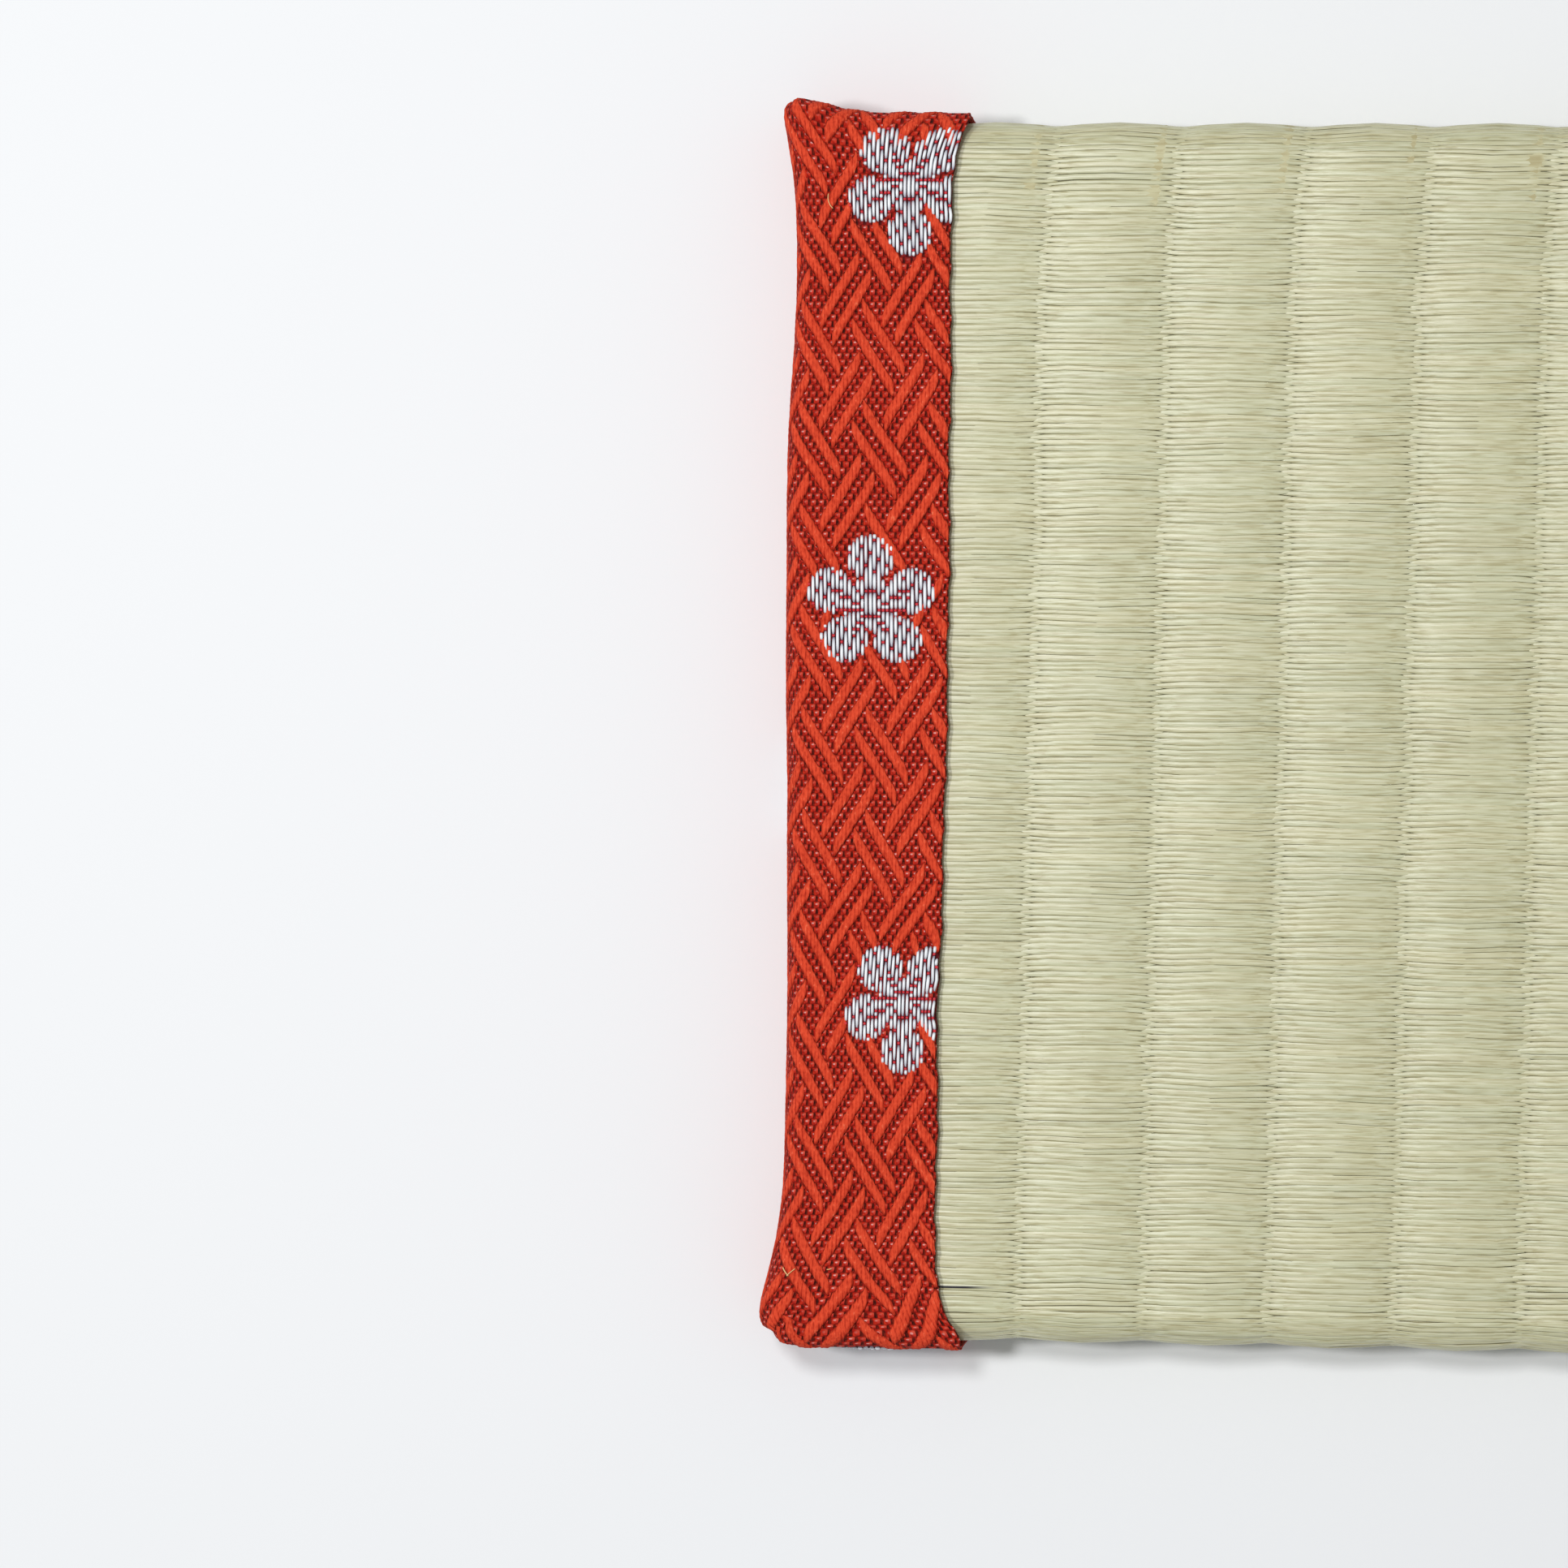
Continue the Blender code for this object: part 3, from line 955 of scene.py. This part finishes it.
# Where the threads stop: underneath, below the ends, and at the tuck of a corner
LAST_U = BORDER_INNER - 2 * TOP_RUN - 2 * ARC - SIDE_RUN
LAST_V = CORE_Y + ARC + SIDE_RUN + 0.6 * ARC
CORNER_SEAM = 0.55 * ARC


def v_limit(u):
    """How far the cloth goes along v: down the ends, but for what is tucked in at the corner."""
    past_corner = BORDER_INNER - u > TOP_RUN + CORNER_SEAM
    return np.where(past_corner, CORE_Y + CORNER_SEAM, LAST_V)


def weave_blossoms():
    """The silver floats and their ties, as rows of u and v where each starts and ends."""
    silver, ties = [], []
    for heart_u, heart_v, turned in blossoms(LAST_U - BLOSSOM_REACH, BORDER_INNER + BLOSSOM_REACH):
        from_heart = np.arange(-BLOSSOM_REACH, BLOSSOM_REACH, SAMPLE)
        v = heart_v + from_heart * turned
        for thread in range(-PETAL_THREADS, PETAL_THREADS + 1):
            from_u = thread * THREAD
            u, strayed_v = drift(heart_u + from_u, v)
            on_cloth = (u < BORDER_INNER - THREAD / 2) & (u > LAST_U)
            on_cloth &= np.abs(strayed_v) < v_limit(u)
            petals = (depth_in_petals(from_u, from_heart) > 0) & on_cloth
            tied = in_ties(thread, from_heart) & petals
            for found, mask, shortest in (
                (silver, petals & ~tied, SHORTEST_SILVER),
                (ties, tied, SHORTEST_TIE),
            ):
                found += [(u[i], v[i], u[j], v[j]) for i, j in runs(mask, SAMPLE, shortest)]
    return np.array(silver), np.array(ties)


def lay_floats(name, floats, size, finish):
    """Raises each float on the left border's cloth."""
    half_wide, high, overshoot = size
    first_u, start, last_u, end = (floats[:, i][:, None] for i in range(4))
    past = overshoot * np.sign(end - start)
    start, end = start - past, end + past
    along, width, height = FLOATS[THREAD_TEMPLATE.ring].T[:, None, :]
    count = len(floats)
    wide = half_wide * width * random.uniform(*FLOAT_WIDTHS, (count, 1))
    lift = high * height * THREAD_TALL[THREAD_TEMPLATE.side]
    lift = lift * random.uniform(*FLOAT_HEIGHTS, (count, 1))
    sway = random.uniform(-FLOAT_SWAY, FLOAT_SWAY, (count, 1))
    side = sway - wide * THREAD_WIDE[THREAD_TEMPLATE.side]
    u = first_u + (last_u - first_u) * along
    points = fold_cloth(u + side, start + (end - start) * along, lift)
    tones = np.ones((*points.shape[:2], 4))
    tones[..., 0] = random.uniform(0, 1, (count, 1))
    tones[..., 2] = np.sin(np.pi * along)
    tones[..., 3] = np.abs(THREAD_WIDE[THREAD_TEMPLATE.side])
    return join_copies(name, THREAD_TEMPLATE, points, tones, finish)


# %% [markdown]
# The fence's bars are softer. A few threads float side by side, each a row further on, and their
# hairs run together, so they look like one slanting cord with a stepped edge. So each bar is one
# raised cord: it goes from thread to thread in smoothed steps, and it stops where a blossom lies.

# %% Raising the bars
BAR_RINGS = 31
BAR_WIDE = np.array((1.0, 0.6, 0.0, -0.6, -1.0))
BAR_TALL = np.array((-0.15, 0.72, 1.0, 0.72, -0.15))
BAR_TEMPLATE = Template(rings=BAR_RINGS, sides=len(BAR_WIDE))
BAR_STEP = 0.75
BAR_PHASES = 12
SHORTEST_BAR = 1.8
UNDER_PETALS = 0.3
BAR_SAMPLES = 60
FENCE_COLUMNS = range(-8, 3)
FENCE_ROWS = range(-10, 10)
# How far from a bar's end a blossom that covers it can have its heart
BLOSSOM_SEARCH = 14.0
EDGE_GAP = 0.1
# A bar's share of its width at its tips, over how many threads it fills out, how much narrower and
# lower it is between two threads, and how ragged its flanks are
BAR_TIP = 0.75
BAR_TIP_THREADS = 0.7
BAR_NARROWING = 0.1
BAR_SINKING = 0.3
BAR_RAGGED = 0.16
BAR_HEIGHTS = (0.9, 1.1)


def weave_bars():
    """Every bar's two ends on the flat cloth, with its lean, where no blossom covers it."""
    found = []
    share = np.linspace(-BAR_HALF_THREADS, BAR_HALF_THREADS, BAR_SAMPLES)
    for centre_u, centre_v, lean in BARS:
        for column in FENCE_COLUMNS:
            for row in FENCE_ROWS:
                u = centre_u + column * REPEAT_U + share * THREAD
                v = centre_v + row * REPEAT_V + share * lean * ROW
                at_u, at_v = drift(u, v)
                shown = (at_u < BORDER_INNER - EDGE_GAP) & (at_u > LAST_U)
                shown &= np.abs(at_v) < v_limit(at_u)
                search = u.min() - BLOSSOM_SEARCH, u.max() + BLOSSOM_SEARCH
                for heart_u, heart_v, turned in blossoms(*search):
                    depth = depth_in_petals(u - heart_u, (v - heart_v) * turned)
                    shown &= depth < UNDER_PETALS
                middle = centre_u + column * REPEAT_U, centre_v + row * REPEAT_V
                for i, j in runs(shown, share[1] - share[0], SHORTEST_BAR):
                    found.append((*middle, share[i], share[j], lean))
    return np.array(found)


def lay_bars(name, bars, finish):
    """Raises each bar on the left border's cloth. Its tone tells which thread a place is on."""
    count = len(bars)
    u, v, start, end, lean = (bars[:, i][:, None] for i in range(5))
    thread = start + (end - start) * BAR_TEMPLATE.ring / (BAR_RINGS - 1)
    upward = BAR_WIDE[BAR_TEMPLATE.side]
    between = 0.5 - 0.5 * np.cos(2 * np.pi * thread)
    from_tip = np.minimum(thread - start, end - thread)
    blunt = BAR_TIP + (1 - BAR_TIP) * smooth(from_tip / BAR_TIP_THREADS)
    ragged = random.uniform(-BAR_RAGGED, BAR_RAGGED, (count, 2 * BAR_PHASES))
    which = np.rint(thread).astype(int) + BAR_PHASES // 2 + BAR_PHASES * (upward > 0)
    half = BAR_HALF_WIDE * blunt * (1 - BAR_NARROWING * between)
    half = half + np.take_along_axis(ragged, which, axis=1)
    stepped = thread - BAR_STEP * np.sin(2 * np.pi * thread) / (2 * np.pi)
    at_u, at_v = drift(u + thread * THREAD, v + (stepped * lean + half * upward) * ROW)
    at_v = np.clip(at_v, -v_limit(at_u), v_limit(at_u))
    tall = BAR_HEIGHT * blunt * (1 - BAR_SINKING * between)
    tall = tall * random.uniform(*BAR_HEIGHTS, (count, 1))
    points = fold_cloth(at_u, at_v, tall * BAR_TALL[BAR_TEMPLATE.side])
    tones = np.ones((*points.shape[:2], 4))
    tones[..., 0] = random.uniform(0, 1, (count, 1))
    tones[..., 1] = thread / BAR_PHASES + 0.5
    tones[..., 2] = from_tip
    tones[..., 3] = 0.5 + 0.5 * upward
    return join_copies(name, BAR_TEMPLATE, points, tones, finish)


# %% [markdown]
# ## Finishes of the cloth
# The raised threads take their colour from the tone that each was given, with painted light and
# shade on each. The ground is too fine to model: rows of small dashes, set half a step apart, each
# painted lighter towards its top, with a dark tick and a light glint beside each one. Under the
# blossoms the ground is painted with shade. A group works the pattern out from the flat cloth's
# coordinates.

# %% The ground's group
# Each spot's middle and reach across a pair of threads, the same up a row, and how soft its rim is
GROUND_SPOTS = (
    ("Dash", 0.37, 0.27, 0.52, 0.42, 0.4),
    ("Tick", 0.7, 0.145, 0.4, 0.56, 0.35),
    ("Glint", 0.15, 0.14, 0.62, 0.11, 0.6),
)


def make_ground_group():
    inputs = [("Place", "NodeSocketVector", None), ("Thread", "NodeSocketFloat", THREAD),
              ("Row", "NodeSocketFloat", ROW)]
    titles = [title for title, *_ in GROUND_SPOTS] + ["Luck", "Up"]
    group, given, result = new_group("woven ground", inputs, titles)
    parts = group.nodes.new("ShaderNodeSeparateXYZ")
    connect(group, given["Place"], parts.inputs[0])
    row_place = calc(group, "DIVIDE", parts.outputs[1], given["Row"])
    row = calc(group, "FLOOR", row_place)
    pair = calc(group, "MULTIPLY", given["Thread"], 2.0)
    across = calc(group, "DIVIDE", parts.outputs[0], pair)
    across = calc(group, "MULTIPLY_ADD", row, 0.5, across)
    column = calc(group, "FLOOR", across)
    across = calc(group, "SUBTRACT", across, column)
    up = calc(group, "SUBTRACT", row_place, row)
    for title, middle, reach, middle_up, reach_up, rim in GROUND_SPOTS:
        off = calc(group, "DIVIDE", calc(group, "SUBTRACT", across, middle), reach)
        off_up = calc(group, "DIVIDE", calc(group, "SUBTRACT", up, middle_up), reach_up)
        off = calc(group, "MULTIPLY", off, off)
        off = calc(group, "SQRT", calc(group, "MULTIPLY_ADD", off_up, off_up, off))
        connect(group, fade(group, off, 1.0 + rim, 1.0 - rim), result[title])
    cell = group.nodes.new("ShaderNodeCombineXYZ")
    connect(group, column, cell.inputs[0])
    connect(group, row, cell.inputs[1])
    luck = group.nodes.new("ShaderNodeTexWhiteNoise")
    luck.noise_dimensions = "2D"
    connect(group, cell.outputs[0], luck.inputs["Vector"])
    connect(group, luck.outputs["Value"], result["Luck"])
    connect(group, up, result["Up"])
    return group


# %% The finish of the cloth
DEEP_RED = tint(150, 16, 6)
DASH_RED = tint(190, 46, 34)
# A dash's top, painted lighter as if lit from above
DASH_TOP_LIT = tint(212, 84, 62)
DARK_TICK = tint(56, 18, 10)
# Painted shadow at the lower ends of a bar's threads
NOTCH_SHADOW_RED = tint(120, 18, 6)
BAR_RED = tint(196, 44, 20)
# Painted shade in the gaps between the silver floats, on the ground under each blossom
BED_SHADE_RED = tint(84, 16, 26)
GLINT = tint(238, 174, 168)
BED_EDGE = 0.6
HAIR_SCALE = 2.5


def mark_beds(cloth):
    """Says at each corner of the cloth how far it lies under a blossom."""
    places = np.empty(2 * len(cloth.data.loops))
    cloth.data.uv_layers["cloth"].uv.foreach_get("vector", places)
    u, v = places[::2], places[1::2]
    bed = np.zeros(len(u))
    for heart_u, heart_v, turned in blossoms(LAST_U - BLOSSOM_REACH, u.max() + BLOSSOM_REACH):
        heart_u, heart_v = drift(heart_u, heart_v)
        depth = depth_in_petals(u - heart_u, (v - heart_v) * turned)
        bed = np.maximum(bed, smooth(depth / BED_EDGE))
    layer = cloth.data.attributes.new("bed", "FLOAT", "CORNER")
    layer.data.foreach_set("value", bed)


def make_cloth_finish():
    finish, tree, shader = new_finish("brocade ground", 0.85, Specular_IOR_Level=0.15)
    place = tree.nodes.new("ShaderNodeUVMap")
    place.uv_map = "cloth"
    ground = use_group(tree, make_ground_group(), Place=place.outputs[0])
    hairs = add_noise(tree, place.outputs[0], HAIR_SCALE, detail=4.0)
    blur = fade(tree, hairs, 0.35, 0.65)
    middle = fade(tree, calc(tree, "ABSOLUTE", calc(tree, "SUBTRACT", ground["Up"], 0.5)), 0.5, 0.36)
    colour = blend(tree, calc(tree, "MULTIPLY", middle, blur), DEEP_RED, BAR_RED)
    dash = calc(tree, "MULTIPLY", ground["Dash"], fade(tree, ground["Luck"], 0.0, 1.0, 0.5, 1.0))
    # Painted light: each dash is lighter towards its top
    lit = blend(tree, fade(tree, ground["Up"], 0.35, 0.8), DASH_RED, DASH_TOP_LIT)
    colour = blend(tree, dash, colour, lit)
    tick = calc(tree, "MULTIPLY", ground["Tick"], fade(tree, hairs, 0.3, 0.6, 1.0, 0.7))
    colour = blend(tree, tick, colour, DARK_TICK)
    luck = fade(tree, ground["Luck"], 0.2, 1.0, 0.1, 0.9)
    glint = calc(tree, "MULTIPLY", ground["Glint"], luck)
    colour = blend(tree, glint, colour, GLINT)
    # Painted shade under the blossoms, between their floats
    bed = tree.nodes.new("ShaderNodeAttribute")
    bed.attribute_name = "bed"
    colour = blend(tree, calc(tree, "MULTIPLY", bed.outputs["Fac"], 0.9), colour, BED_SHADE_RED)
    connect(tree, colour, shader.inputs["Base Color"])
    height = calc(tree, "SUBTRACT", ground["Dash"], ground["Tick"])
    add_bump(tree, shader, calc(tree, "MULTIPLY_ADD", hairs, 0.6, height), 0.2)
    return finish


def make_thread_finish(name, dark, light, roughness, **fixed):
    """Raised thread: each float has its own tone, with painted light where it rises and in its middle,
    and painted shade at its edges and where it dives.
    """
    finish, tree, shader = new_finish(name, roughness, **fixed)
    own, _, risen, from_middle = read_tone(tree)
    # Painted light and shade: lighter where the float rises and in its middle, shaded at its edges and
    # ends
    raised = fade(tree, risen, 0.1, 0.8)
    raised = calc(tree, "MULTIPLY", raised, fade(tree, from_middle, 1.0, 0.6, 0.2, 1.0))
    share = calc(tree, "MULTIPLY_ADD", own, 0.25, calc(tree, "MULTIPLY", raised, 0.75))
    connect(tree, blend(tree, share, dark, light), shader.inputs["Base Color"])
    return finish


# A bar's painted shade and painted light; the shaded end also takes the darker hairs
SHADED_BAR = tint(150, 20, 6)
LIT_BAR = tint(224, 76, 46)
# Painted glints of single hairs
BAR_GLINT = tint(238, 124, 88)
FUZZ_SCALE = 4.0
# The fuzz is drawn out along Y, as hairs are
FUZZ_DRAWN = (1.0, 0.4, 1.0)


def make_bar_finish():
    """A bar's soft threads: fine lines of painted shade between them, painted shade on the flanks, and
    hairs that blur both.
    """
    finish, tree, shader = new_finish("vermilion thread", 0.9, Specular_IOR_Level=0.15)
    _, along, _, upward = read_tone(tree)
    thread = calc(tree, "MULTIPLY", along, 2 * math.pi * BAR_PHASES)
    line = fade(tree, calc(tree, "COSINE", thread), 0.2, 1.0)
    place = tree.nodes.new("ShaderNodeTexCoord")
    drawn = tree.nodes.new("ShaderNodeVectorMath")
    drawn.operation = "MULTIPLY"
    drawn.inputs[1].default_value = FUZZ_DRAWN
    connect(tree, place.outputs["Object"], drawn.inputs[0])
    fuzz = add_noise(tree, drawn.outputs[0], FUZZ_SCALE / MM, detail=4.0)
    # Painted shade on both flanks, deeper on the lower one
    flank_shade = calc(tree, "MULTIPLY", fade(tree, upward, 0.0, 0.4), fade(
        tree, upward, 1.0, 0.8, 0.3, 1.0))
    height = calc(tree, "MULTIPLY_ADD", line, -0.45, calc(tree, "MULTIPLY", fuzz, 2.6))
    share = fade(tree, calc(tree, "MULTIPLY_ADD", flank_shade, 0.6, height), 0.55, 2.3)
    colour = blend(tree, share, SHADED_BAR, LIT_BAR)
    # Painted shadow notches along the lower flank, one at each thread
    notch_shadow = calc(tree, "MULTIPLY", fade(tree, upward, 0.3, 0.0), fade(
        tree, line, 0.0, 1.0, 0.3, 0.85))
    colour = blend(tree, notch_shadow, colour, NOTCH_SHADOW_RED)
    # Painted glints where the fuzz is highest
    glint_fleck = fade(tree, fuzz, 0.62, 0.74, 0.0, 0.6)
    colour = blend(tree, glint_fleck, colour, BAR_GLINT)
    connect(tree, colour, shader.inputs["Base Color"])
    add_bump(tree, shader, height, 0.05)
    return finish


# Shaded and lit colours of each thread: painted shade and light, mixed with each float's own tone
SILVER_SHADED = tint(132, 130, 146)
SILVER_LIT = tint(240, 242, 245)
TIE_SHADED = tint(150, 20, 40)
TIE_LIT = tint(216, 50, 60)

mark_beds(border_cloth)
border_cloth.data.materials.append(make_cloth_finish())
bar_finish = make_bar_finish()
silver_finish = make_thread_finish("silver thread", SILVER_SHADED, SILVER_LIT, 0.4)
tie_finish = make_thread_finish("crimson tie", TIE_SHADED, TIE_LIT, 0.6)

# %% Raising the threads
silver_floats, tie_floats = weave_blossoms()
left_pieces = [
    border_cloth,
    lay_bars("fence_bars_left", weave_bars(), bar_finish),
    lay_floats("plum_blossoms_left", silver_floats, SILVER_SIZE, silver_finish),
    lay_floats("blossom_ties_left", tie_floats, TIE_SIZE, tie_finish),
]

# %% [markdown]
# ## The other border
# It is the same strip, turned half round. Each piece is copied with its mesh, and the turn goes into
# the points, so that the copy's object stays at the origin, unturned.

# %% The right border
HALF_TURN = Matrix.Rotation(math.pi, 4, "Z")


def turn_copy(piece):
    mesh = piece.data.copy()
    mesh.transform(HALF_TURN)
    return show(piece.name.replace("_left", "_right"), mesh)


right_pieces = [turn_copy(piece) for piece in left_pieces]

# %% [markdown]
# ## The loose fibres
# Cutting a mat leaves a few bits of straw on its border. Each is a thin bar that is laid along an
# arc on the cloth, with the same template as a thread has.

# %% Laying the loose fibres
# Each fibre's middle in X and Y, its length, the way it points and how far it turns, in mm and radians
LOOSE_FIBRES = (
    (-71.05, 64.7, 1.9, -1.3, 1.2),
    (-73.1, -66.6, 1.3, -0.9, 0.2),
    (-72.5, -66.6, 1.2, 0.85, -0.3),
    (-68.2, -66.2, 0.5, 0.2, 0.5),
)
FIBRE_HALF_WIDE = 0.07
FIBRE_RISE = 0.3
FIBRE_SIDES = 5
FIBRE_TEMPLATE = Template(rings=9, sides=FIBRE_SIDES)
FIBRE_STRAW = tint(226, 176, 118)


def lay_fibres(name):
    points = []
    for x, y, length, way, turn in LOOSE_FIBRES:
        share = FIBRE_TEMPLATE.ring / FIBRE_TEMPLATE.ring.max() - 0.5
        angle = way + turn * share
        round_it = 2 * np.pi * FIBRE_TEMPLATE.side / FIBRE_SIDES
        off = FIBRE_HALF_WIDE * np.cos(round_it)
        u = x + length * share * np.cos(way + turn * share / 2) - off * np.sin(angle)
        v = y + length * share * np.sin(way + turn * share / 2) + off * np.cos(angle)
        points.append(fold_cloth(u, v, FIBRE_RISE + FIBRE_HALF_WIDE * np.sin(round_it)))
    finish, _, shader = new_finish("loose fibres", 0.5)
    shader.inputs["Base Color"].default_value = FIBRE_STRAW
    tones = np.ones((len(points), len(FIBRE_TEMPLATE.ring), 4))
    return join_copies(name, FIBRE_TEMPLATE, np.array(points), tones, finish)


loose_fibres = lay_fibres("loose_fibres_left")

# %% [markdown]
# ## The light
# One soft lamp hangs up high, to the left and towards +Y, where it draws the shimmer down the left of
# each rib. A second one, further to the left, lengthens the shadow that the fold throws on the rush.
# A pale surrounding keeps the other shadows light.

# %% The floor and the light
# Each lamp's name, place, size and power, in metres and watts, and its share in the shine
LAMPS = (
    ("key", (-0.16, 0.18, 0.82), 0.14, 2.55, 1.0),
    ("side", (-0.4, 0.03, 0.82), 0.1, 3.1, 0.2),
)
FLOOR_REACH = 3.0
FLOOR_COLOUR = (0.83, 0.84, 0.852, 1.0)
SURROUNDING_COLOUR = (0.96, 0.98, 1.0, 1.0)
SURROUNDING_STRENGTH = 0.37


def make_stage():
    bm = bmesh.new()
    bmesh.ops.create_grid(bm, x_segments=1, y_segments=1, size=FLOOR_REACH)
    floor = keep_mesh("floor", bm)
    finish, _, shader = new_finish("pale floor", 0.9)
    shader.inputs["Base Color"].default_value = FLOOR_COLOUR
    floor.data.materials.append(finish)
    for name, place, size, watts, shine in LAMPS:
        data = bpy.data.lights.new(name, "AREA")
        data.shape = "DISK"
        data.size = size
        data.energy = watts
        data.specular_factor = shine
        lamp = show(name, data)
        lamp.location = place
        lamp.rotation_euler = (-Vector(place)).to_track_quat("-Z", "Y").to_euler()
    world = bpy.data.worlds.new("surrounding")
    world.use_nodes = True
    backdrop = world.node_tree.nodes["Background"]
    backdrop.inputs["Color"].default_value = SURROUNDING_COLOUR
    backdrop.inputs["Strength"].default_value = SURROUNDING_STRENGTH
    bpy.context.scene.world = world
    bpy.context.scene.view_settings.view_transform = "Standard"


make_stage()

# %% [markdown]
# ## Handing over
# Every piece is hung on the root body, and the imported nodes that the pieces stand for are hidden.

for piece in [rush_facing, *rush_stems]:
    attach(piece, "root")
    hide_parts("rush_cover")
for node, pieces in (("border_left", left_pieces), ("border_right", right_pieces)):
    for piece in pieces:
        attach(piece, "root")
        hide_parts(node)
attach(loose_fibres, "root")
